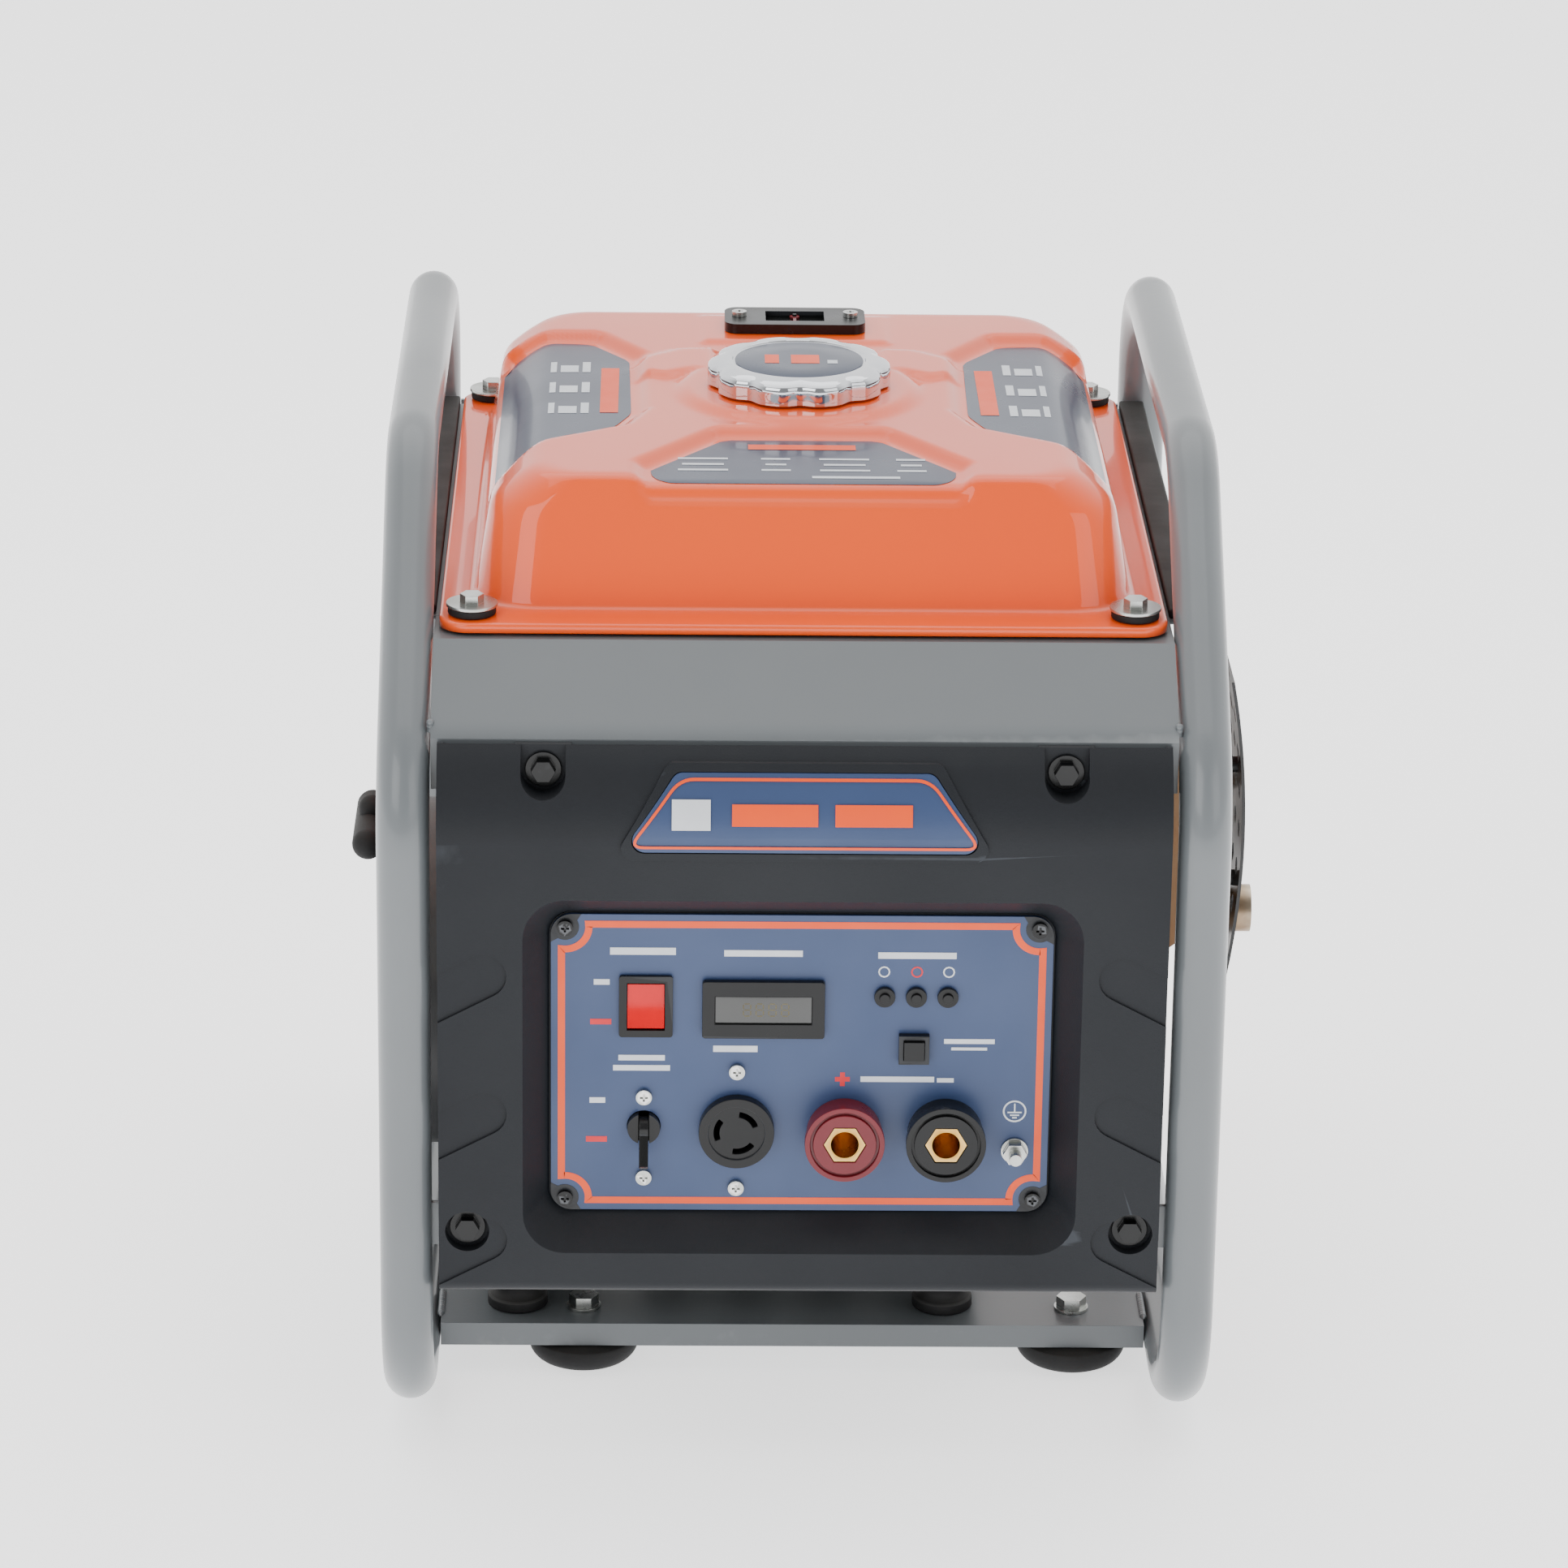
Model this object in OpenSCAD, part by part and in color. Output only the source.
// Engine driven welder: a petrol engine and welding inverter in a carry frame.
// Origin at the floor, midway between the legs and the two side loops.
// +X is the operator's right, +Y is the rear, +Z is up. Millimetres.

/* [Frame] */
// Width over the two tube loops
frame_w = 400; // [380:1:480]
// Depth over the front and rear legs
frame_d = 480; // [470:1:576]
// Height of the top rails above the floor
frame_h = 475.5; // [465:0.5:560]
// Outside diameter of the frame tube
tube_d = 25; // [22:0.5:30]
// Wall of the frame tube
tube_wall = 1.5; // [1.2:0.1:2.5]
// Height of the lowest tube above the floor
tube_lift = 5; // [3:0.5:8]
// Thickness of the folded sheet panels
sheet_t = 2; // [1.5:0.1:2.5]

/* [Tank] */
// Length of the tank flange, front to rear
tank_l = 390; // [370:1:394]
// Height of the upper shell above its flange
tank_rise = 63; // [50:1:76]
// Depth of the lower pan below its flange
tank_pan = 42; // [30:1:44]
// Sheet thickness of the tank shells
tank_t = 1.2; // [0.8:0.1:1.5]
// Diameter of the filler bore
filler_d = 40; // [34:1:48]
// Diameter of the fuel cap
cap_d = 91; // [76:1:100]

/* [Front panel] */
// Wall of the moulded front fascia
fascia_t = 3; // [2.5:0.1:4]
// Width of the control plate
plate_w = 237; // [230:1:244]
// Height of the control plate
plate_h = 151.5; // [146:0.5:154]
// Diameter of a welding socket's flange
socket_d = 38; // [32:0.5:42]
// Diameter of the welding plug's bore
weld_bore_d = 13; // [9:0.5:14]

/* [Engine] */
// Diameter of the crankshaft journals
crank_d = 25; // [20:0.5:30]
// Cylinder bore
bore_d = 60; // [50:1:66]
// Diameter of the recoil starter's housing
recoil_d = 176; // [160:1:180]

/* [Hidden] */

$fn = 48;
grey = [0.50, 0.52, 0.53];
orange = [0.95, 0.34, 0.10];
slate = [0.22, 0.30, 0.42];
fascia_black = [0.12, 0.12, 0.13];
rubber_black = [0.06, 0.06, 0.06];
zinc = [0.72, 0.72, 0.70];
alloy = [0.62, 0.63, 0.64];

seat = 0.3;              // gap between a piece and its seat
run = 0.1;               // radial running clearance of a shaft

// Frame lines
loop_x = frame_w / 2 - tube_d / 2;
leg_y = frame_d / 2 - tube_d / 2;
low_z = tube_lift + tube_d / 2;
top_z = frame_h - tube_d / 2;
knee_drop = 125;         // the slope's start, below the top rail
brow_run = 140;          // the slope's run, front leg to top rail
loop_path = [[-leg_y, low_z], [-leg_y, top_z - knee_drop], [-leg_y + brow_run, top_z],
    [leg_y, top_z], [leg_y, low_z]];
loop_radii = [60, 70, 60, 50, 60];
weld_lap = 1;            // a straight tube runs this far into each bend
weld_step = 0.5;         // and is this much thinner than the bend
drain_d = 5;             // drain hole under the lowest tube
inner_x = frame_w / 2 - tube_d - seat;     // half-width free between the loops
rail_inset = 7;          // step from the decks' ends to the tank rails

// Decks that carry the tank
deck_z = top_z - 68;
flange_z = deck_z + 5;                     // joint plane of the two tank shells
tank_y = 25;
tank_hw = 172.4;
flange_t = 1.4;
tank_front = tank_y - tank_l / 2;
tank_rear = tank_y + tank_l / 2;
tank_bolt_inset = [15.4, 15.5];
tank_bolt_xy = [for (sx = [-1, 1], y = [tank_front + tank_bolt_inset[1], tank_rear - tank_bolt_inset[1]])
    [sx * (tank_hw - tank_bolt_inset[0]), y]];
tank_top_z = flange_z + tank_rise;
cap_y = 19;
neck_h = 5;
gauge_y = 130.5;
gauge_size = [72, 33, 5];

// Fascia and control panel
fascia_y = -leg_y - tube_d / 2 + 1.5;      // front face
fascia_hw = inner_x - 3.2;
fascia_low = 87;
fascia_bend = top_z - 148;                 // the face curves back above this height
fascia_top = fascia_bend + 44;
fascia_r = 59.6;
plate_y = fascia_y + 17;                   // front face of the control plate
plate_z = 199.3;
plate_t = 2;
ledge_y = plate_y + plate_t + 0.1;
top_bolt = [122, fascia_bend + 32];
low_bolt = [158, 119];
pocket_floor = fascia_y + 8;
notch_floor = fascia_y + 19.5;
tab_y = pocket_floor + fascia_t + 0.2;
tab_t = 3;               // welded tab for the fascia's lower bolt
tab_h = 22;
lip_y = notch_floor + fascia_t + 0.5;      // front face of the upper panel's hidden lip

// Panel devices: [x, z]
switch_at = [-73.6, 229];
meter_at = [-18, 228];
lamps_at = [for (i = [0:2]) [39.2 + 14.95 * i, 234.4]];
reset_at = [53.5, 208.2];
breaker_at = [-74.3, 167];
outlet_at = [-30.2, 165.7];
positive_at = [21.1, 164];
negative_at = [69.2, 164];
earth_at = [102.6, 155.5];
plate_screws_at = [for (sx = [-1, 1], sz = [-1, 1]) [sx * 111.8, plate_z + sz * 69.3]];
device_screws_at = [[outlet_at[0], outlet_at[1] + 30], [outlet_at[0], outlet_at[1] - 30],
    [breaker_at[0], breaker_at[1] + 15.5], [breaker_at[0], breaker_at[1] - 26]];
outlet_d = 36;
boss_d = 15.5;
socket_out = 15;
insert_af = 17.4;
insert_l = 44;

// Base
tray_z = 26;
tray_hd = 142;
feet_at = [for (y = [-121.5, 121.5], x = [-104, 139.5]) [x, y]];
mounts_at = [for (y = [-117, 90], x = [-137, 75]) [x, y]];
mount_h = 20;
cradle_t = 4;
cradle_z = tray_z + mount_h + 2 * seat;

// Engine lines: the crankshaft lies along X
crank_y = -5;
crank_z = 160;
cylinder_lean = -60;                       // the cylinder leans to the rear
case_hx = 62;
case_wall = 8;
deck_d = 64;                               // crank axis to cylinder base
head_d = 124;                              // crank axis to head joint
cover_d = 158;                             // crank axis to rocker cover joint
fan_x = -case_hx - 3;                      // right end of the blower housing
blower_l = 102;
blower_d = 184;
duct_w = 34;             // duct from the drum to the cylinder
duct_l = 100;
recoil_x = fan_x - blower_l - seat;        // open edge of the recoil housing
recoil_l = 35;
recoil_face = recoil_x - recoil_l;
pulley_d = 118;
pulley_w = 12;
rope_r = pulley_d / 2 - 6;                 // working radius of the rope
rope_d = 4;
guide = [22, 228.5];                       // rope guide, [y, z]
muffler_y = 20;
muffler_z = 258;
muffler_x = 166;
outlet_tip = [230.5, -25, 204];
sleeve_l = 11;           // end sleeve that takes an exhaust extension

// ---------- helpers ----------
function unit(v) = v / norm(v);
function left_of(v) = [-v[1], v[0]];

// Points of a folded sheet's section: a path, and the same path t to its left
function sheet_section(path, t) = concat(path, [for (i = [len(path) - 1:-1:0])
    let (a = i > 0 ? unit(path[i] - path[i - 1]) : unit(path[1] - path[0]),
         b = i < len(path) - 1 ? unit(path[i + 1] - path[i]) : a,
         m = left_of(a) + left_of(b))
    path[i] + m * t / (1 + a * b)]);

function arc_points(c, r, a0, a1, n) = [for (i = [0:n])
    let (a = a0 + (a1 - a0) * i / n) c + r * [cos(a), sin(a)]];

// A section drawn in [y, z], extruded along X about the centre
module along_x(w) rotate([90, 0, 90]) linear_extrude(w, center = true) children();

// A local frame on the control plate's face: +Z leaves the panel
module on_panel(at, y = plate_y) translate([at[0], y, at[1]]) rotate([90, 0, 0]) children();

// A local frame on the crankshaft: +Z is the world's +X
module on_crank(x) translate([x, crank_y, crank_z]) rotate([0, 90, 0]) children();

// A local frame on the cylinder: +Z runs from the crank axis to the head
module on_cylinder(d = 0)
    translate([0, crank_y, crank_z]) rotate([cylinder_lean, 0, 0]) translate([0, 0, d]) children();

module rounded_square(size, r) {
    square([size[0] - 2 * r, size[1]], center = true);
    square([size[0], size[1] - 2 * r], center = true);
    for (sx = [-1, 1], sy = [-1, 1])
        translate([sx * (size[0] / 2 - r), sy * (size[1] / 2 - r)]) circle(r);
}

module slab(size, r, t) linear_extrude(t) rounded_square(size, r);

module tube(d, bore, h) difference() {
    cylinder(d = d, h = h);
    translate([0, 0, -1]) cylinder(d = bore, h = h + 2);
}

module hex(af, h) cylinder(d = af / cos(30), h = h, $fn = 6);

module pan_screw(d, head_d, shank_l) {
    difference() {
        cylinder(d = head_d, h = 2.4);
        for (a = [0, 90]) rotate(a) translate([-head_d / 4, -0.5, 1.2]) cube([head_d / 2, 1, 2]);
    }
    translate([0, 0, -shank_l]) cylinder(d = d, h = shank_l + 0.1);
}

// Hex bolt with washer, head upwards, shank down to -l
module washer_bolt(af, head_h, washer_d, d, l) {
    cylinder(d = washer_d, h = 1.5);
    translate([0, 0, 1.5]) hex(af, head_h);
    translate([0, 0, -l]) cylinder(d = d, h = l + 0.1);
}

// Hex nut with its own bore, lying on z = 0 and reaching down
module nut(af, d, h) translate([0, 0, -h]) difference() {
    hex(af, h);
    translate([0, 0, -1]) cylinder(d = d, h = h + 2);
}

// ---------- frame ----------
// Closed loop of round bar of diameter d along loop_path, drawn in X, Y
module bent_loop(d) {
    n = len(loop_path);
    for (i = [0:n - 1]) {
        p = loop_path[i];
        q = loop_path[(i + 1) % n];
        o = loop_path[(i + n - 1) % n];
        back = unit(o - p);
        ahead = unit(q - p);
        half = acos(back * ahead) / 2;
        r = loop_radii[i];
        reach = r / tan(half);
        next_half = acos(unit(loop_path[(i + 2) % n] - q) * -ahead) / 2;
        next_reach = loop_radii[(i + 1) % n] / tan(next_half);
        centre = p + unit(back + ahead) * r / sin(half);
        start = p + ahead * reach;
        from_centre = start - centre;
        translate(centre) rotate(atan2(from_centre[1], from_centre[0]))
            rotate_extrude(angle = 180 - 2 * half) translate([r, 0]) circle(d = d);
        translate(start - ahead * weld_lap) rotate([0, 90, atan2(ahead[1], ahead[0])])
            cylinder(d = d - weld_step, h = norm(q - p) - reach - next_reach + 2 * weld_lap);
    }
}

module side_loop(side) color(grey) {
    translate([side * loop_x, 0, 0]) rotate([90, 0, 90]) difference() {
        bent_loop(tube_d);
        bent_loop(tube_d - 2 * tube_wall);
        rotate([90, 0, 0]) cylinder(d = drain_d, h = low_z);
    }
    fascia_tab(side);
}

// Welded tab that takes the fascia's lower bolt
module fascia_tab(side) difference() {
    tab_w = loop_x - sqrt(pow(tube_d / 2 - 0.7, 2) - pow(tab_y + tab_t / 2 + leg_y, 2)) - low_bolt[0] + 9;
    translate([side > 0 ? low_bolt[0] - 9 : -low_bolt[0] + 9 - tab_w, tab_y, low_bolt[1] - tab_h / 2])
        cube([tab_w, tab_t, tab_h]);
    translate([side * low_bolt[0], tab_y - 1, low_bolt[1]]) rotate([-90, 0, 0]) cylinder(d = 6.6, h = 5);
}

module left_side_loop() side_loop(-1);
module right_side_loop() side_loop(1);

module front_upper_panel() color(grey) difference() {
    flange_end = tank_front + 30;
    along_x(2 * inner_x) polygon(sheet_section([[flange_end, deck_z], [tank_front - 3.6, deck_z],
        [tank_front - 39.6, deck_z - 28], [lip_y, deck_z - 35], [lip_y, deck_z - 60]], sheet_t));
    for (p = tank_bolt_xy) translate([p[0], p[1], deck_z - 5]) cylinder(d = 7, h = 10);
    for (sx = [-1, 1]) translate([sx * top_bolt[0], lip_y - 5, top_bolt[1]])
        rotate([-90, 0, 0]) cylinder(d = 6.6, h = 20);
}

module rear_upper_panel() color(grey) difference() {
    wall_y = leg_y - 3.5;
    flange_start = tank_rear - 30;
    along_x(2 * inner_x) polygon(sheet_section([[wall_y, deck_z - 43], [wall_y, deck_z],
        [flange_start, deck_z]], sheet_t));
    for (sx = [-1, 1]) translate([sx * (inner_x + 40 - rail_inset), flange_start - 1, deck_z - sheet_t - 1])
        translate([-40, 0, 0]) cube([80, wall_y - sheet_t - flange_start + 0.6, sheet_t + 2]);
    for (p = tank_bolt_xy) translate([p[0], p[1], deck_z - 5]) cylinder(d = 7, h = 10);
}

module tank_rails() color(grey) for (side = [-1, 1]) {
    inner = inner_x - rail_inset + seat;
    outer = inner + 21;
    front = tank_front + 30 + seat;
    rear = leg_y - tube_d / 2 - seat;
    difference() {
        translate([side * (inner + outer) / 2, 0, 0]) rotate([90, 0, 0]) translate([0, 0, -rear])
            linear_extrude(rear - front) {
                translate([-(outer - inner) / 2, deck_z - sheet_t]) square([outer - inner, sheet_t]);
                translate([side * (outer - inner) / 2 - (side > 0 ? sheet_t : 0), deck_z - 18])
                    square([sheet_t, 18]);
            }
    }
}

// ---------- base ----------
module base_tray() color(grey) difference() {
    lip = 12;
    translate([-inner_x, -tray_hd, tray_z - lip]) cube([2 * inner_x, 2 * tray_hd, lip]);
    translate([-inner_x + sheet_t, -tray_hd + sheet_t, tray_z - lip - 1])
        cube([2 * (inner_x - sheet_t), 2 * (tray_hd - sheet_t), lip + 1 - sheet_t]);
    for (p = concat(feet_at, mounts_at)) translate([p[0], p[1], tray_z - 5]) cylinder(d = 8.6, h = 10);
    for (i = [-2:2]) translate([i * 42 - 8, -60, tray_z - 5]) cube([16, 120, 10]);
}

module rubber_feet() color(rubber_black) for (p = feet_at) translate([p[0], p[1], 0]) {
    h = tray_z - sheet_t - seat;
    rotate_extrude() difference() {
        polygon(concat([[4.3, 0], [18, 0]], arc_points([18, 9.5], 9.5, -90, 0, 8),
            [[27, 12.2], [17, 13.7], [17, h], [4.3, h]]));
        translate([0, -1]) square([9, 9.5]);
    }
}

module engine_mounts() color(rubber_black) for (p = mounts_at) translate([p[0], p[1], tray_z + seat])
    rotate_extrude() difference() {
        translate([4.3, 0]) square([10.7, mount_h]);
        translate([16.5, mount_h / 2]) circle(5);
    }

// Foot bolts and engine mount bolts, all M8 with washers and nuts
module base_bolts() color(zinc) {
    for (p = feet_at) translate([p[0], p[1], tray_z + 0.1]) {
        washer_bolt(13, 5.3, 17, 8, 22.5);
        translate([0, 0, 8.1 - tray_z]) nut(13, 8, 6.5);
    }
    for (p = mounts_at) translate([p[0], p[1], cradle_z + cradle_t + 0.1]) {
        grip = cradle_t + mount_h + sheet_t + 3 * seat + 1;
        washer_bolt(13, 5.3, 17, 8, grip + 8);
        translate([0, 0, -grip]) nut(13, 8, 6.5);
    }
}

// ---------- tank ----------
module tank_layer(z, hw, y0, y1, r) translate([0, (y0 + y1) / 2, z]) slab([2 * hw, y1 - y0], r, 0.1);

// Stamped upper form, shrunk by t all round for the inside
module tank_form(t) hull() {
    y0 = tank_front + 23.5 + t;
    y1 = tank_rear - 23.5 - t;
    tank_layer(flange_z - (t > 0 ? 5 : 0), 156 - t, y0, y1, 30, $fn = 32);
    tank_layer(flange_z + tank_rise - 17.5 - t * 0.4, 149 - t, y0 + 15, y1 - 25, 26, $fn = 32);
    tank_layer(flange_z + tank_rise - 8 - t * 0.8, 137.5 - t, y0 + 19, y1 - 29, 24, $fn = 32);
    tank_layer(tank_top_z - 0.1 - t, 127 - t, y0 + 22.5, y1 - 32.5, 22, $fn = 32);
}

module tank_flange_plan() translate([0, tank_y]) rounded_square([2 * tank_hw, tank_l], 14);

module tank_upper_shell() color(orange) difference() {
    union() {
        tank_form(0);
        translate([0, 0, flange_z]) linear_extrude(flange_t) tank_flange_plan();
        translate([0, tank_y, flange_z - 3.6]) difference() {
            slab([2 * tank_hw, tank_l], 14, 4);
            translate([0, 0, -1]) slab([2 * tank_hw - 3, tank_l - 3], 12.5, 6);
        }
    }
    tank_form(tank_t);
    translate([0, 0, flange_z - 9]) linear_extrude(8.9) translate([0, tank_y])
        rounded_square([2 * tank_hw - 3, tank_l - 3], 12.5);
    for (p = tank_bolt_xy) translate([p[0], p[1], flange_z - 5]) cylinder(d = 14, h = 10);
    translate([0, cap_y, tank_top_z - 6]) cylinder(d = filler_d, h = 10);
    translate([0, gauge_y, tank_top_z - 6]) cylinder(d = 24, h = 10);
}

module tank_lower_shell() color(orange) difference() {
    top = flange_z - 0.2;
    pan_y = [tank_front + 34, tank_rear - 34];
    union() {
        translate([0, 0, top - flange_t]) linear_extrude(flange_t) translate([0, tank_y])
            rounded_square([2 * tank_hw - 4, tank_l - 4], 12);
        pan_form(pan_y, top, 0);
    }
    pan_form(pan_y, top, tank_t);
    for (p = tank_bolt_xy) translate([p[0], p[1], flange_z - 5]) cylinder(d = 14, h = 10);
    translate([tap_at[0], tap_at[1], top - tank_pan - 2]) cylinder(d = 8.4, h = 6);
}

module pan_form(pan_y, top, t) hull() {
    tank_layer(top - 0.1 + t, 152 - t, pan_y[0] + t, pan_y[1] - t, 28, $fn = 32);
    tank_layer(top - 14, 152 - t, pan_y[0] + t, pan_y[1] - t, 28, $fn = 32);
    tank_layer(top - tank_pan + t, 138 - t, pan_y[0] + 12 + t, pan_y[1] - 12 - t, 24, $fn = 32);
}

module filler_neck() color(orange) translate([0, cap_y, tank_top_z]) {
    translate([0, 0, seat / 3]) tube(filler_d + 14, filler_d, neck_h);
    translate([0, 0, -30]) difference() {
        cylinder(d = filler_d - 1, h = 30.4 + neck_h);
        translate([0, 0, 1]) cylinder(d = filler_d - 3, h = 40);
        for (a = [0:60:300]) rotate(a) translate([0, 0, 12]) rotate([90, 0, 0]) cylinder(d = 8, h = 40);
    }
}

cap_z = tank_top_z + neck_h + 0.8;         // underside of the cap's gasket land
cap_core_d = 30;

module fuel_cap_core() color(rubber_black) translate([0, cap_y, cap_z]) {
    difference() {
        union() {
            cylinder(d = filler_d + 14, h = 2.6);
            translate([0, 0, -14]) cylinder(d = cap_core_d, h = 15);
            cylinder(d = 14, h = 5);
        }
        translate([0, 0, -15]) cylinder(d = cap_core_d - 6, h = 12);
    }
}

// Chromed cap with finger scallops, hollow over the neck
module fuel_cap() color("silver") translate([0, cap_y, cap_z - 4]) {
    lobes = 10;
    h = 13;
    difference() {
        union() {
            cylinder(d = cap_d, h = h - 1.5);
            translate([0, 0, h - 1.6]) cylinder(d1 = cap_d, d2 = cap_d - 4, h = 1.6, $fn = 96);
        }
        for (i = [0:lobes - 1]) rotate((i + 0.5) * 360 / lobes)
            translate([cap_d / 2 + 8.5, 0, -1]) cylinder(d = 22, h = h + 2);
        translate([0, 0, -1]) cylinder(d = filler_d + 26, h = 8);
        translate([0, 0, 5]) cylinder(d = 14.4, h = 4.4);
    }
}

module fuel_gauge_body() color(rubber_black) translate([0, gauge_y, tank_top_z + 0.1]) {
    difference() {
        slab([gauge_size[0], gauge_size[1]], 7, gauge_size[2]);
        translate([-15, -9, 1.8]) cube([30, 18, 6]);
        for (sx = [-1, 1]) translate([sx * 28.5, 0, -1]) cylinder(d = 4.4, h = 10);
    }
    translate([0, 0, -26]) cylinder(d = 22, h = 26.1);
    translate([0, 6, 0]) cylinder(d = 2, h = 4.4);
}

module fuel_gauge_needle() color("red") translate([0, gauge_y + 6, tank_top_z + 2.4]) difference() {
    union() {
        cylinder(d = 5, h = 1);
        translate([-0.8, -13, 0]) cube([1.6, 13, 1]);
    }
    translate([0, 0, -1]) cylinder(d = 2 + 2 * run, h = 3);
}

grommet_top = flange_z + flange_t + 3.8;

module tank_bolts() color(zinc) for (p = tank_bolt_xy) translate([p[0], p[1], grommet_top + seat]) {
    drop = grommet_top + seat - deck_z + sheet_t + 0.3;
    washer_bolt(10, 4.2, 24.5, 6, drop + 6.5);
    translate([0, 0, -drop]) nut(10, 6, 5);
}

module tank_grommets() color(rubber_black) for (p = tank_bolt_xy) translate([p[0], p[1], 0]) {
    low = deck_z + seat;
    difference() {
        union() {
            translate([0, 0, low]) cylinder(d = 20, h = flange_z - 0.2 - flange_t - seat - low);
            translate([0, 0, low]) cylinder(d = 13.4, h = grommet_top - low);
            translate([0, 0, flange_z + flange_t + seat]) cylinder(d = 23, h = 3.5);
        }
        translate([0, 0, low - 1]) cylinder(d = 6.6, h = 30);
    }
}

tap_at = [-96, 62];
tap_z = flange_z - 0.2 - tank_pan;         // underside of the pan

module fuel_tap_body() color(alloy) translate([tap_at[0], tap_at[1], tap_z]) {
    translate([0, 0, -seat - 3]) cylinder(d = 17, h = 3);
    translate([0, 0, -4]) cylinder(d = 7.8, h = 14);
    difference() {
        translate([0, 0, -17]) cylinder(d = 15, h = 15);
        translate([-10, 0, -10]) rotate([0, 90, 0]) cylinder(d = 5.2, h = 9);
    }
    translate([0, 0, -26]) cylinder(d = 5, h = 10);
}

module fuel_tap_lever() color("red") translate([tap_at[0] - 8.2, tap_at[1], tap_z - 10]) rotate([0, -90, 0]) {
    translate([0, 0, -6]) cylinder(d = 5, h = 6.1);
    cylinder(d = 11, h = 5);
    translate([-2.5, 0, 0]) cube([5, 24, 5]);
}

// Hose from the tap to the carburettor, swept along hand-set points
hose_route = [[tap_at[0], tap_at[1], tap_z - 20], [tap_at[0], tap_at[1], tap_z - 30], [-95, 62, 312],
    [-92, 63, 298], [-88, 64, 284], [-85, 66, 270], [-82, 68, 258], [-80, 72, 249], [-80, 79, 246],
    [-80, 80.5, 246], [-80, 89.2, 246]];
hose_end = hose_route[len(hose_route) - 1];
hose_d = 10;
hose_bore = 5.5;
hose_sides = 10;

function ring_at(path, i, r, sides) =
    let (t = unit(path[min(i + 1, len(path) - 1)] - path[max(i - 1, 0)]),
         u = unit(cross(t, [1, 0, 0])), v = cross(t, u))
    [for (k = [0:sides - 1]) path[i] + r * (cos(360 * k / sides) * u + sin(360 * k / sides) * v)];

module swept_pipe(path, d, bore, sides) {
    n = len(path);
    outer = [for (i = [0:n - 1]) each ring_at(path, i, d / 2, sides)];
    inner = [for (i = [0:n - 1]) each ring_at(path, i, bore / 2, sides)];
    shift = n * sides;
    next = function(k) (k + 1) % sides;
    skin = [for (i = [0:n - 2], k = [0:sides - 1])
        [i * sides + k, i * sides + next(k), (i + 1) * sides + next(k), (i + 1) * sides + k]];
    lining = [for (f = skin) [f[3] + shift, f[2] + shift, f[1] + shift, f[0] + shift]];
    start = [for (k = [0:sides - 1]) [k, k + shift, next(k) + shift, next(k)]];
    far = (n - 1) * sides;
    end = [for (k = [0:sides - 1]) [far + k, far + next(k), far + next(k) + shift, far + k + shift]];
    polyhedron(concat(outer, inner), concat(skin, lining, start, end), convexity = 6);
}

module fuel_hose() color(rubber_black) swept_pipe(hose_route, hose_d, hose_bore, hose_sides);

// ---------- fascia ----------
arc_c = [fascia_y + fascia_r, fascia_bend];
arc_end = asin((fascia_top - fascia_bend) / fascia_r);
function face_arc(grow) = arc_points(arc_c, fascia_r + grow, 180, 180 - arc_end, 10);
// Height on the curved face: depth of the face at z
function face_at(z) = z < fascia_bend ? fascia_y : arc_c[0] - sqrt(pow(fascia_r, 2) - pow(z - fascia_bend, 2));

lower_edge = arc_points([fascia_y + 6, fascia_low + 6], 6, 270, 180, 6);

module recess_void(grow, y_back) hull() {
    translate([0, y_back, plate_z]) rotate([90, 0, 0])
        slab([plate_w + 1.6 + 2 * grow, plate_h + 1.4 + 2 * grow], 11 + grow, 0.1, $fn = 32);
    translate([0, fascia_y + (grow > 0 ? fascia_t : 0), plate_z - 1]) rotate([90, 0, 0])
        slab([263 + 2 * grow, 180 + 2 * grow], 20 + grow, 0.1, $fn = 32);
}

// Shallow tongue pressed into the fascia's edge, slanting down to the outside
module side_tongue(side, z) translate([side * 150, fascia_y, z]) rotate([90, 0, 0]) {
    drop_depth = 1.2;
    translate([0, 0, -drop_depth]) linear_extrude(drop_depth + 1) rotate(side > 0 ? -28 : 208)
        polygon(concat([[40, 11]], arc_points([0, 0], 11, 90, 270, 12), [[40, -11]]));
}

module badge_outline(grow) {
    z0 = fascia_bend - 2 - grow;
    z1 = fascia_bend + 34 + grow;
    hw0 = 86 + grow;
    hw1 = 60 + grow;
    r = 6;
    offset(r) offset(-r) polygon([[-hw0, z0], [hw0, z0], [hw1, z1], [-hw1, z1]]);
}

module badge_prism(grow) translate([0, fascia_y + 30, 0]) rotate([90, 0, 0])
    linear_extrude(60) badge_outline(grow, $fn = 32);

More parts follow.
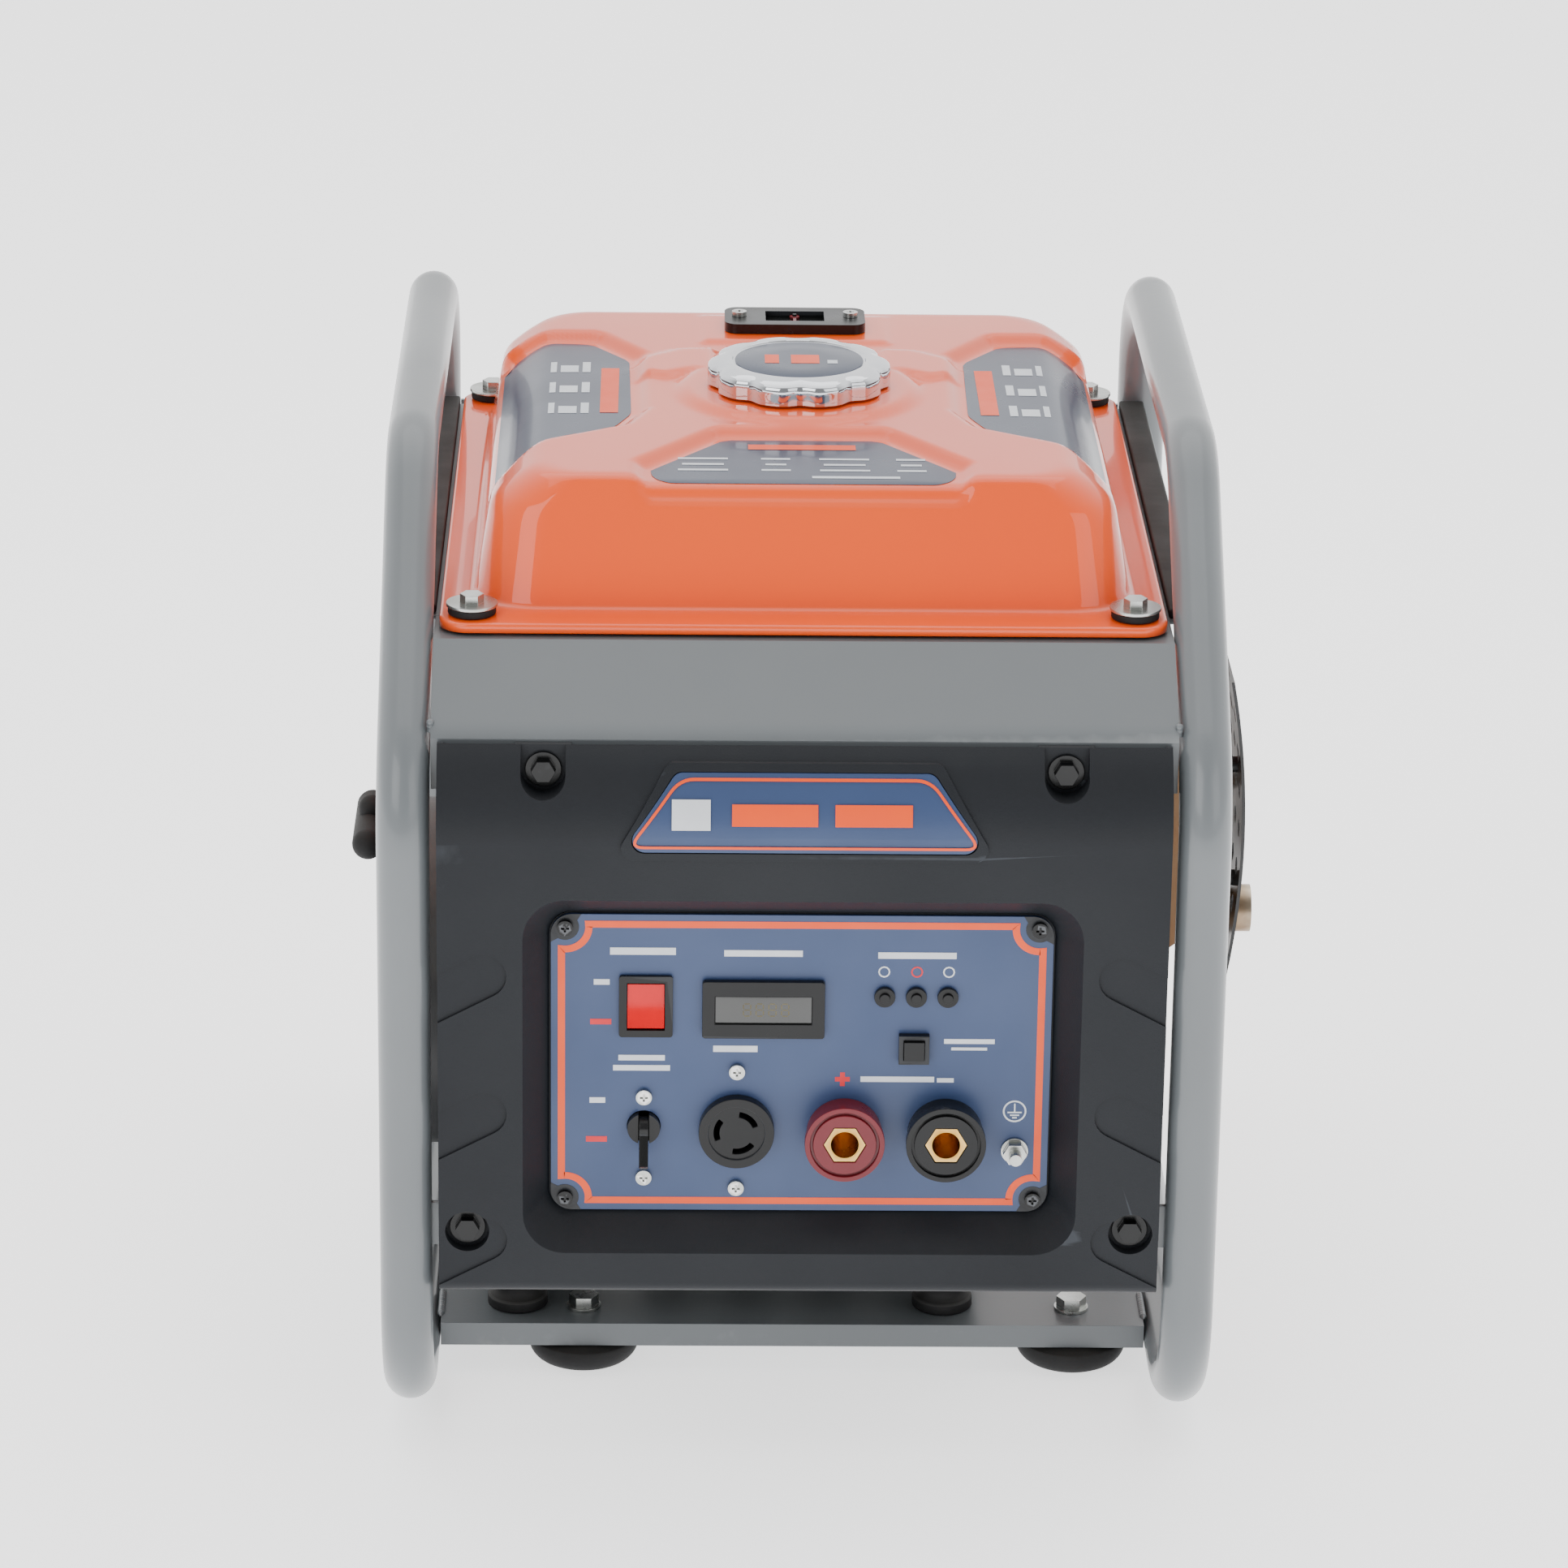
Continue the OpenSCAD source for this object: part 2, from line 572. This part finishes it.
module front_fascia() color(fascia_black) {
    front_path = concat([[fascia_y + 33, fascia_low]], lower_edge, face_arc(0));
    side_path = concat(lower_edge, face_arc(0), [[lip_y - 1.2, fascia_top], [lip_y - 1.2, fascia_low]]);
    difference() {
        union() {
            along_x(2 * fascia_hw) polygon(sheet_section(front_path, -fascia_t));
            for (side = [-1, 1]) translate([side * (fascia_hw - fascia_t / 2), 0, 0])
                along_x(fascia_t) polygon(side_path);
            recess_void(fascia_t, ledge_y + fascia_t);
            for (side = [-1, 1]) {
                translate([side * low_bolt[0], pocket_floor + fascia_t, low_bolt[1]])
                    rotate([90, 0, 0]) cylinder(d = 27, h = pocket_floor - fascia_y);
                intersection() {
                    along_x(2 * fascia_hw - 1) polygon(concat(face_arc(-1),
                        [[notch_floor + fascia_t, fascia_top], [notch_floor + fascia_t, fascia_bend - 1]]));
                    translate([side * top_bolt[0], notch_floor + 9, 0]) rotate([90, 0, 0])
                        linear_extrude(40) {
                            translate([0, top_bolt[1]]) circle(13);
                            translate([-13, top_bolt[1]]) square([26, fascia_top - top_bolt[1]]);
                        }
                }
            }
            intersection() {
                along_x(300) polygon(sheet_section(concat([[fascia_y + 1, fascia_bend - 10]],
                    face_arc(-1)), 2.5));
                difference() {
                    badge_prism(4);
                    badge_prism(0.4);
                }
            }
        }
        recess_void(0, ledge_y);
        translate([0, ledge_y + 10, plate_z]) rotate([90, 0, 0]) slab([212, 128], 6, 20);
        for (p = concat(plate_screws_at, device_screws_at)) on_panel(p, ledge_y)
            translate([0, 0, -8]) cylinder(d = 3.4, h = 12);
        on_panel(earth_at, ledge_y) translate([0, 0, -8]) cylinder(d = 14, h = 12);
        for (side = [-1, 1]) {
            translate([side * (fascia_hw - fascia_t / 2) - fascia_t, pocket_floor + fascia_t,
                low_bolt[1] - tab_h / 2 - seat]) cube([2 * fascia_t, 12, tab_h + 2 * seat]);
            translate([side * low_bolt[0], pocket_floor, low_bolt[1]]) rotate([90, 0, 0]) cylinder(d = 21, h = 20);
            translate([side * low_bolt[0], pocket_floor + 9, low_bolt[1]]) rotate([90, 0, 0]) cylinder(d = 6.6, h = 20);
            translate([side * top_bolt[0], notch_floor, 0]) rotate([90, 0, 0]) linear_extrude(30) {
                translate([0, top_bolt[1]]) circle(10.5);
                translate([-10.5, top_bolt[1]]) square([21, 30]);
            }
            translate([side * top_bolt[0], notch_floor + 9, top_bolt[1]]) rotate([90, 0, 0]) cylinder(d = 6.6, h = 20);
            for (z = [115, 180, 250]) side_tongue(side, z);
        }
    }
}

module fascia_bolts() color([0.16, 0.16, 0.16]) for (side = [-1, 1]) {
    on_panel([side * low_bolt[0], low_bolt[1]], pocket_floor - 0.1) {
        washer_bolt(10, 4.5, 17, 6, 16);
        translate([0, 0, pocket_floor - tab_y - 3.3]) nut(10, 6, 5);
    }
    on_panel([side * top_bolt[0], top_bolt[1]], notch_floor - 0.1) {
        washer_bolt(10, 4.5, 17, 6, 20);
        translate([0, 0, notch_floor - lip_y - sheet_t - 0.4]) nut(10, 6, 5);
    }
}

module badge_plate() color(slate) intersection() {
    along_x(300) polygon(sheet_section([for (p = concat([[fascia_y, fascia_bend - 10]], face_arc(0)))
        p - [0.2, 0]], 1));
    badge_prism(0);
}

// ---------- control panel ----------
module panel_hole(at, d) on_panel(at) translate([0, 0, -10]) cylinder(d = d, h = 20);
module panel_slot(at, size) on_panel(at) translate([-size[0] / 2, -size[1] / 2, -10]) cube([size[0], size[1], 20]);

module control_plate() color(slate) difference() {
    on_panel([0, plate_z]) translate([0, 0, -plate_t]) slab([plate_w, plate_h], 10, plate_t);
    panel_slot(switch_at, [22.6, 28.6]);
    panel_slot(meter_at, [54.6, 25.6]);
    for (p = lamps_at) panel_hole(p, 8.4);
    panel_hole(reset_at, 12.6);
    panel_hole(breaker_at, boss_d + 0.6);
    panel_hole(outlet_at, outlet_d - 5);
    panel_hole(positive_at, 28.6);
    panel_hole(negative_at, 28.6);
    panel_hole(earth_at, 6.6);
    for (p = concat(plate_screws_at, device_screws_at)) panel_hole(p, 3.6);
}

module panel_screws() color([0.3, 0.3, 0.3]) {
    for (p = concat(plate_screws_at, device_screws_at)) on_panel(p) translate([0, 0, 0.1]) pan_screw(3, 7.6, 6.5);
    for (sx = [-1, 1]) translate([sx * 28.5, gauge_y, tank_top_z + gauge_size[2] + 0.2]) pan_screw(4, 7.6, 5.2);
}

rocker_tilt = 10;
rocker_y = plate_y + 1;                    // pivot of the engine switch

module engine_switch_housing() color(rubber_black) on_panel(switch_at) difference() {
    union() {
        translate([0, 0, 0.1]) slab([25.5, 31], 1.5, 2.2, $fn = 32);
        translate([-11, -14, -18]) cube([22, 28, 18.2]);
    }
    translate([-9, -12, -12]) cube([18, 24, 20]);
    translate([-15, 0, plate_y - rocker_y]) rotate([0, 90, 0]) translate([0, 0, 3]) cylinder(d = 3 + 2 * run, h = 24);
}

module engine_switch_rocker() color("red") translate([switch_at[0], rocker_y, switch_at[1]])
    rotate([90, 0, 0]) {
        rotate([-rocker_tilt, 0, 0]) rotate([90, 0, 90]) linear_extrude(17.4, center = true)
            polygon([[-10.6, -3], [10.6, -3], [10.6, 4.2], [0, 2.6], [-10.6, 4.2]]);
        translate([-11, 0, 0]) rotate([0, 90, 0]) cylinder(d = 3, h = 22);
    }

module display_meter() color(rubber_black) on_panel(meter_at) difference() {
    union() {
        translate([0, 0, 0.1]) slab([58, 29], 1.5, 3.6, $fn = 32);
        translate([-27, -12.5, -22]) cube([54, 25, 22.2]);
    }
    translate([-23, -7, 2.6]) cube([46, 14, 5]);
}

module indicator_lamps() color(rubber_black) for (p = lamps_at) on_panel(p) {
    translate([0, 0, 0.1]) cylinder(d = 10, h = 2.6);
    translate([0, 0, -14]) cylinder(d = 8, h = 14.2);
    translate([0, 0, 2]) cylinder(d = 5, h = 2.4);
}

button_travel = 2.5;
button_w = 9.6;

module reset_button_housing() color(rubber_black) on_panel(reset_at) difference() {
    union() {
        translate([-7.25, -7.25, 0.1]) cube([14.5, 14.5, 4]);
        translate([0, 0, -18]) cylinder(d = 12, h = 18.2);
    }
    translate([-button_w / 2 - 0.3, -button_w / 2 - 0.3, 0.8]) cube([button_w + 0.6, button_w + 0.6, 5]);
    translate([0, 0, -14]) cylinder(d = 6 + 2 * run, h = 20);
}

module reset_button() color([0.09, 0.09, 0.09]) on_panel(reset_at) {
    translate([-button_w / 2, -button_w / 2, 0.8 + button_travel + 0.2]) cube([button_w, button_w, 2.6]);
    translate([0, 0, -10]) cylinder(d = 6, h = 14);
}

toggle_y = plate_y - 1.5;                  // pivot of the breaker's toggle
toggle_t = 4.4;

module breaker_body() color(rubber_black) on_panel(breaker_at) difference() {
    union() {
        cylinder(d = boss_d, h = 4);
        translate([-14, -25, -38]) cube([28, 40, 38 - plate_t - 0.3]);
        translate([0, 0, -4]) cylinder(d = boss_d, h = 5);
    }
    translate([-toggle_t / 2 - 0.4, -7.2, -7]) cube([toggle_t + 0.8, 30, 30]);
    translate([-toggle_t / 2 - 0.4, -30, 0.2]) cube([toggle_t + 0.8, 30, 30]);
    translate([0, 0, plate_y - toggle_y]) rotate([0, 90, 0]) cylinder(d = 2.6 + 2 * run, h = 13, center = true);
    translate([0, 10.5 + 5, -10]) cylinder(d = 3.6, h = 10);
    translate([0, -26, -10]) cylinder(d = 3.6, h = 10);
}

module breaker_toggle() color([0.1, 0.1, 0.1]) translate([breaker_at[0], toggle_y, breaker_at[1]]) {
    rotate([0, 90, 0]) cylinder(d = 11, h = toggle_t, center = true);
    rotate([0, 90, 0]) cylinder(d = 2.6, h = 12, center = true);
    rotate([52, 0, 0]) translate([-toggle_t / 2, -20, -2.5]) cube([toggle_t, 20, 5]);
}

module ac_outlet() color(rubber_black) on_panel(outlet_at) difference() {
    union() {
        translate([0, 0, 0.1]) cylinder(d = outlet_d, h = 6);
        translate([0, 0, -28]) cylinder(d = outlet_d - 6, h = 28.2);
    }
    translate([0, 0, 5.1]) cylinder(d = outlet_d - 9, h = 2);
    for (a = [20, 140, 260]) rotate(a) translate([0, 0, -12])
        rotate_extrude(angle = 62) translate([8.2, 0]) square([2.6, 30]);
}

module weld_socket(at, tint) color(tint) on_panel(at) difference() {
    union() {
        translate([0, 0, 0.1]) cylinder(d = socket_d - 2, h = socket_out - 5);
        translate([0, 0, socket_out - 5]) cylinder(d = socket_d, h = 5);
        translate([0, 0, -32]) cylinder(d = 28, h = 32.2);
    }
    translate([0, 0, -60]) hex(insert_af + 0.4, 90);
    translate([0, 0, socket_out - 2]) difference() {
        cylinder(d = socket_d - 5, h = 5);
        translate([0, 0, -1]) cylinder(d = socket_d - 8, h = 7);
    }
}

module weld_socket_positive() weld_socket(positive_at, [0.45, 0.08, 0.12]);
module weld_socket_negative() weld_socket(negative_at, rubber_black);

module weld_socket_inserts() color([0.8, 0.6, 0.25]) for (p = [positive_at, negative_at]) on_panel(p)
    difference() {
        translate([0, 0, socket_out - insert_l]) hex(insert_af, insert_l - 0.3);
        translate([0, 0, socket_out - 36]) cylinder(d = weld_bore_d, h = 40);
    }

module earth_terminal() color(zinc) on_panel(earth_at) {
    translate([0, 0, 0.1]) cylinder(d = 13, h = 1.4);
    translate([0, 0, 1.4]) hex(10, 5);
    translate([0, 0, -14]) cylinder(d = 6, h = 27);
    translate([0, 0, -plate_t - 5.2]) hex(10, 5);
}

// Welding inverter: case with heat sink, standing off the fascia's ledge
module inverter_module() color(alloy) {
    y0 = -172;
    y1 = -130;
    difference() {
        translate([-120, y0, 78]) cube([240, y1 - y0 - 14, 232]);
        translate([-117, y0 - 1, 81]) cube([234, 14, 226]);
    }
    for (i = [0:23]) translate([-118 + i * 10.2, y1 - 14.1, 80]) cube([2.4, 14.1, 228]);
    standoff_y = ledge_y + fascia_t + seat;
    for (x = [-113, 113], z = [-32, 32]) translate([x, standoff_y, plate_z + z]) rotate([-90, 0, 0])
        cylinder(d = 9, h = y0 + 1 - standoff_y);
}

// ---------- engine ----------
module engine_cradle() color(grey) difference() {
    translate([-156, -136, cradle_z]) cube([250, 244, cradle_t]);
    translate([-100, -100, cradle_z - 1]) cube([24, 170, cradle_t + 2]);
    for (p = mounts_at) translate([p[0], p[1], cradle_z - 1]) cylinder(d = 8.6, h = 8);
}

case_low = cradle_z + cradle_t + seat;
case_y = [crank_y - 78, crank_y + 58];

module crankcase() color(alloy) difference() {
    union() {
        translate([-case_hx, case_y[0], case_low]) cube([2 * case_hx, case_y[1] - case_y[0], 152]);
        on_cylinder(0) translate([-54, -52, 0]) cube([108, 98, deck_d]);
        on_crank(case_hx - 0.1) cylinder(d = 70, h = 10);
        translate([case_hx - 1, crank_y + 30, 84]) rotate([0, 90, 0]) cylinder(d = 28, h = 9);
    }
    intersection() {
        union() {
            translate([-case_hx + case_wall, case_y[0] + case_wall, case_low + case_wall])
                cube([2 * (case_hx - case_wall), case_y[1] - case_y[0] - 2 * case_wall, 152 - 2 * case_wall]);
            on_cylinder(0) cylinder(d = bore_d + 14, h = deck_d + 1);
        }
        translate([-case_hx + case_wall, -200, 0]) cube([2 * (case_hx - case_wall), 400, 400]);
    }
    on_cylinder(deck_d) translate([-100, -100, 0]) cube(200);
    on_crank(-case_hx - 20) cylinder(d = crank_d + 2 * run, h = 2 * case_hx + 50);
    translate([case_hx - 12, crank_y + 30, 84]) rotate([0, 90, 0]) cylinder(d = 16.4, h = 30);
}

module crankshaft() color([0.55, 0.55, 0.56]) {
    web_t = 12;
    throw = 21;
    on_crank(-140) cylinder(d = crank_d, h = 140 - 14);
    on_crank(14) cylinder(d = crank_d, h = 72);
    for (x = [-14 - web_t, 14]) on_crank(x) cylinder(d = 68, h = web_t);
    on_crank(-15) translate([throw, 0, 0]) cylinder(d = 20, h = 30);
}

module fins(count, pitch, size, t) for (i = [0:count - 1])
    translate([-size[0] / 2, -size[1] / 2, i * pitch]) cube([size[0], size[1], t]);

module cylinder_block() color(alloy) on_cylinder(deck_d + seat) difference() {
    union() {
        cylinder(d = bore_d + 14, h = head_d - deck_d - 2 * seat);
        translate([-48, -46, 0]) cube([96, 90, 6]);
        translate([0, 0, 10]) fins(7, 7, [98, 92], 2.8);
    }
    translate([0, 0, -1]) cylinder(d = bore_d, h = 100);
}

module cylinder_head() color(alloy) on_cylinder(head_d) difference() {
    union() {
        translate([-50, -46, 0]) cube([100, 92, 8]);
        translate([-34, -36, 0]) cube([68, 72, cover_d - head_d]);
        translate([0, 0, 11]) fins(3, 6.5, [100, 92], 2.8);
        for (side = [-1, 1]) translate([side * 40, -14, 14]) rotate([0, side * 90, 0]) cylinder(d = 32, h = 13);
    }
    translate([0, 0, -1]) cylinder(d = bore_d - 6, h = 6);
    for (side = [-1, 1]) translate([side * 26, -14, 14]) rotate([0, side * 90, 0]) cylinder(d = 20, h = 40);
    translate([12, -60, 18]) rotate([-90, 0, 0]) cylinder(d = 14.4, h = 40);
}

module rocker_cover() color([0.15, 0.15, 0.15]) on_cylinder(cover_d + seat) difference() {
    union() {
        slab([74, 78], 8, 3);
        slab([66, 70], 10, 20);
    }
    translate([0, 0, -1]) slab([62, 66], 9, 18.5);
}

module spark_plug() color(rubber_black) on_cylinder(head_d + 18) translate([12, -60, 0]) rotate([-90, 0, 0]) {
    translate([0, 0, 8]) cylinder(d = 14, h = 22);
    translate([0, 0, 2]) hex(19, 8);
    translate([0, 0, -34]) cylinder(d = 20, h = 36.2);
    translate([0, 0, -28]) rotate([0, -90, 0]) cylinder(d = 13, h = 20);
}

module oil_dipstick() color([0.12, 0.12, 0.12]) translate([case_hx + 8 + seat, crank_y + 30, 84]) rotate([0, 90, 0]) {
    cylinder(d = 32, h = 10);
    translate([0, 0, -16]) cylinder(d = 16, h = 16.1);
    translate([0, 0, -50]) cylinder(d = 4, h = 40);
}

stator_x = -case_hx - seat;                // right face of the stator

module alternator_stator() color([0.6, 0.35, 0.15]) on_crank(stator_x - 34) difference() {
    union() {
        cylinder(d = 72, h = 34);
        for (i = [0:11]) rotate(i * 30) translate([20, -8, 4]) cube([30, 16, 24]);
        for (i = [0:11]) rotate(i * 30) translate([48, -10, 6]) cube([4, 20, 20]);
    }
    translate([0, 0, -1]) cylinder(d = crank_d + 10, h = 40);
}

// Flywheel cup with magnets, fan blades and the starter cup
module flywheel_fan() color([0.45, 0.46, 0.47]) {
    back = stator_x - 34 - 3;
    difference() {
        union() {
            on_crank(back - 8) cylinder(d = 132, h = 42);
            for (i = [0:15]) on_crank(back - 30) rotate(i * 22.5) translate([36, -1.25, 0]) cube([46, 2.5, 23]);
            on_crank(back - 46) cylinder(d = 62, h = 38.1);
            on_crank(back - 10) cylinder(d = 164, h = 4);
        }
        on_crank(back) cylinder(d = 114, h = 50);
        on_crank(back - 60) cylinder(d = crank_d + 2 * run, h = 70);
        on_crank(back - 47) cylinder(d = 52, h = 16);
    }
}

// Drum round the fan, open to the cylinder through a duct
module blower_housing() color([0.10, 0.10, 0.11]) difference() {
    union() {
        on_crank(fan_x - blower_l) cylinder(d = blower_d, h = blower_l);
        on_cylinder(0) translate([fan_x - duct_w, -blower_d / 2 + 5, 0]) cube([duct_w + 1, 60, duct_l]);
    }
    on_crank(fan_x - blower_l + 2) cylinder(d = blower_d - 4, h = blower_l + 1);
    on_crank(fan_x - blower_l - 1) cylinder(d = 134, h = 10);
    on_cylinder(0) translate([fan_x - duct_w + 2, -blower_d / 2 + 7, 0]) cube([duct_w + 2, 56, duct_l - 2]);
}

post_d = 12;

module recoil_housing() color([0.11, 0.11, 0.12]) {
    difference() {
        on_crank(recoil_face) cylinder(d = recoil_d, h = recoil_l);
        on_crank(recoil_face + 3) cylinder(d = recoil_d - 6, h = recoil_l);
        for (ring = [0:1], i = [0:11 + 6 * ring]) on_crank(recoil_face - 1)
            rotate(i * 360 / (12 + 6 * ring)) translate([30 + 18 * ring, 0, 0]) cylinder(d = 6.5, h = 6);
        translate([recoil_face - 1, guide[0], guide[1]]) rotate([0, 90, 0]) cylinder(d = 10, h = 6);
    }
    on_crank(recoil_face + 2.9) cylinder(d = post_d, h = 26);
    on_crank(recoil_x - 2.5) tube(recoil_d + 12, recoil_d - 4, 2.5);
}

pulley_x = recoil_face + 3 + 4;

module recoil_pulley() color([0.85, 0.85, 0.8]) on_crank(pulley_x) difference() {
    cylinder(d = pulley_d, h = pulley_w);
    translate([0, 0, -1]) cylinder(d = post_d + 2 * run, h = pulley_w + 2);
    translate([0, 0, 3]) difference() {
        cylinder(d = pulley_d + 2, h = pulley_w - 6);
        translate([0, 0, -1]) cylinder(d = 2 * rope_r, h = pulley_w);
    }
    for (i = [0:5]) rotate(i * 60) translate([27, 0, -1]) cylinder(d = 15, h = pulley_w + 2);
}

grip_x = recoil_face - seat;               // inner face of the grip
grip_t = 20.5;

module starter_rope() color([0.8, 0.8, 0.78]) translate([grip_x - 6, guide[0], guide[1]]) rotate([0, 90, 0])
    cylinder(d = rope_d, h = 12);

module rounded_bar(d, l) {
    cylinder(d = d, h = l);
    sphere(d = d);
    translate([0, 0, l]) sphere(d = d);
}

// T handle: a rounded bar with a neck at the rope
module pull_handle() color(rubber_black) translate([grip_x, guide[0], guide[1]]) difference() {
    union() {
        rotate([0, -90, 0]) cylinder(d1 = 18, d2 = 24, h = 8);
        translate([-grip_t + 8, -28, 0]) rotate([-90, 0, 0]) rounded_bar(16, 56);
        translate([-grip_t + 9, 0, -9]) rounded_bar(14, 18);
    }
    rotate([0, -90, 0]) translate([0, 0, -1]) cylinder(d = rope_d + 0.4, h = 8);
}

// ---------- carburettor, cleaner, muffler ----------
// World place of the ports in the head: [y, z]
port_d = head_d + 14;
port = [crank_y - port_d * sin(cylinder_lean) - 14 * cos(cylinder_lean),
    crank_z + port_d * cos(cylinder_lean) - 14 * sin(cylinder_lean)];
carb_x = -54;

module along_port(x, dir) translate([x, port[0], port[1]]) rotate([0, dir * 90, 0]) children();

module carburettor() color(alloy) difference() {
    union() {
        along_port(carb_x, -1) cylinder(d = 34, h = 46);
        translate([carb_x - 36, port[0] - 18, port[1] - 20]) cube([28, 36, 40]);
        translate([carb_x - 22, port[0], port[1] - 44]) cylinder(d = 36, h = 30);
        along_port(carb_x, -1) rotate(45) translate([-20, -20, 0]) cube([40, 40, 5]);
        translate([hose_end[0], port[0] - 17, hose_end[2]]) rotate([90, 0, 0]) cylinder(d = 5, h = 9);
    }
    along_port(carb_x + 1, -1) cylinder(d = 22, h = 60);
    translate([choke_at[0], port[0] + 10, choke_at[1]]) rotate([-90, 0, 0]) cylinder(d = 4 + 2 * run, h = 12);
}
choke_at = [carb_x - 22, port[1] + 15];

module choke_lever() color(zinc) translate([choke_at[0], port[0] + 18 + seat, choke_at[1]]) rotate([-90, 0, 0]) {
    translate([0, 0, -7]) cylinder(d = 4, h = 9);
    cylinder(d = 12, h = 2.5);
    translate([-3, -30, 0]) cube([6, 30, 2.5]);
    translate([0, -28, 0]) cylinder(d = 10, h = 8);
}

module air_cleaner() color([0.12, 0.12, 0.13]) {
    x1 = carb_x - 46 - seat;
    size = [58, 92, 108];
    corner = [x1 - size[0], port[0] - 28, port[1] - 40];
    difference() {
        translate(corner) cube(size);
        translate(corner + [3, 3, 3]) cube(size - [6, 6, 6]);
        along_port(x1 + 1, -1) cylinder(d = 24, h = 8);
    }
}

// Flattened drum with inlet pipe from the head and outlet through the shield
module muffler() color([0.45, 0.40, 0.35]) {
    pipe_x = 53.5;
    difference() {
        union() {
            translate([muffler_x, muffler_y, muffler_z]) rotate([90, 0, 0]) linear_extrude(170, center = true)
                rounded_square([72, 132], 34);
            along_port(pipe_x, 1) cylinder(d = 28, h = muffler_x - pipe_x);
            along_port(pipe_x, 1) rotate(45) translate([-22, -22, 0]) cube([44, 44, 6]);
            translate([muffler_x, outlet_tip[1], outlet_tip[2]]) rotate([0, 90, 0])
                cylinder(d = 22.6, h = outlet_tip[0] - muffler_x - 1);
            translate([outlet_tip[0] - sleeve_l, outlet_tip[1], outlet_tip[2]]) rotate([0, 90, 0])
                cylinder(d = 24, h = sleeve_l);
        }
        translate([muffler_x, muffler_y, muffler_z]) rotate([90, 0, 0]) linear_extrude(166, center = true)
            rounded_square([68, 128], 32);
        along_port(pipe_x - 1, 1) cylinder(d = 24, h = muffler_x - pipe_x);
        translate([muffler_x, outlet_tip[1], outlet_tip[2]]) rotate([0, 90, 0]) cylinder(d = 20, h = 100);
    }
}

module muffler_shield() color([0.08, 0.08, 0.09]) {
    x0 = 205.5;
    crown = 221.5;
    hw = 82;
    hl = 96;
    bulge = 8;
    r = (hw * hw + bulge * bulge) / (2 * bulge);
    difference() {
        translate([crown, muffler_y, muffler_z + 2]) rotate([90, 0, 0]) linear_extrude(2 * hl, center = true)
            intersection() {
                translate([-r, 0]) difference() {
                    circle(r, $fn = 96);
                    circle(r - 1.6, $fn = 96);
                }
                translate([-20, -hw]) square([40, 2 * hw]);
            }
        translate([190, outlet_tip[1], outlet_tip[2]]) rotate([0, 90, 0]) cylinder(d = 34, h = 60);
        for (row = [-3:3], col = [-4:4]) if (norm([row * 20 + 54, col * 20 + 45]) > 30)
            translate([190, muffler_y + col * 20, muffler_z + 2 + row * 20]) rotate([0, 90, 0])
                cylinder(d = 9, h = 60);
    }
    for (y = [-70, 70], z = [-30, 30]) translate([muffler_x + 36 + seat, muffler_y + y, muffler_z + 2 + z])
        rotate([0, 90, 0]) cylinder(d = 8, h = crown - muffler_x - 36 - 2.4);
}

left_side_loop();
right_side_loop();
front_upper_panel();
rear_upper_panel();
tank_rails();
base_tray();
rubber_feet();
engine_mounts();
base_bolts();
tank_upper_shell();
tank_lower_shell();
filler_neck();
fuel_cap_core();
fuel_cap();
fuel_gauge_body();
fuel_gauge_needle();
tank_bolts();
tank_grommets();
fuel_tap_body();
fuel_tap_lever();
fuel_hose();
front_fascia();
fascia_bolts();
badge_plate();
control_plate();
panel_screws();
engine_switch_housing();
engine_switch_rocker();
display_meter();
indicator_lamps();
reset_button_housing();
reset_button();
breaker_body();
breaker_toggle();
ac_outlet();
weld_socket_positive();
weld_socket_negative();
weld_socket_inserts();
earth_terminal();
inverter_module();
engine_cradle();
crankcase();
cylinder_block();
cylinder_head();
rocker_cover();
spark_plug();
oil_dipstick();
crankshaft();
alternator_stator();
flywheel_fan();
blower_housing();
recoil_housing();
recoil_pulley();
starter_rope();
pull_handle();
carburettor();
choke_lever();
air_cleaner();
muffler();
muffler_shield();
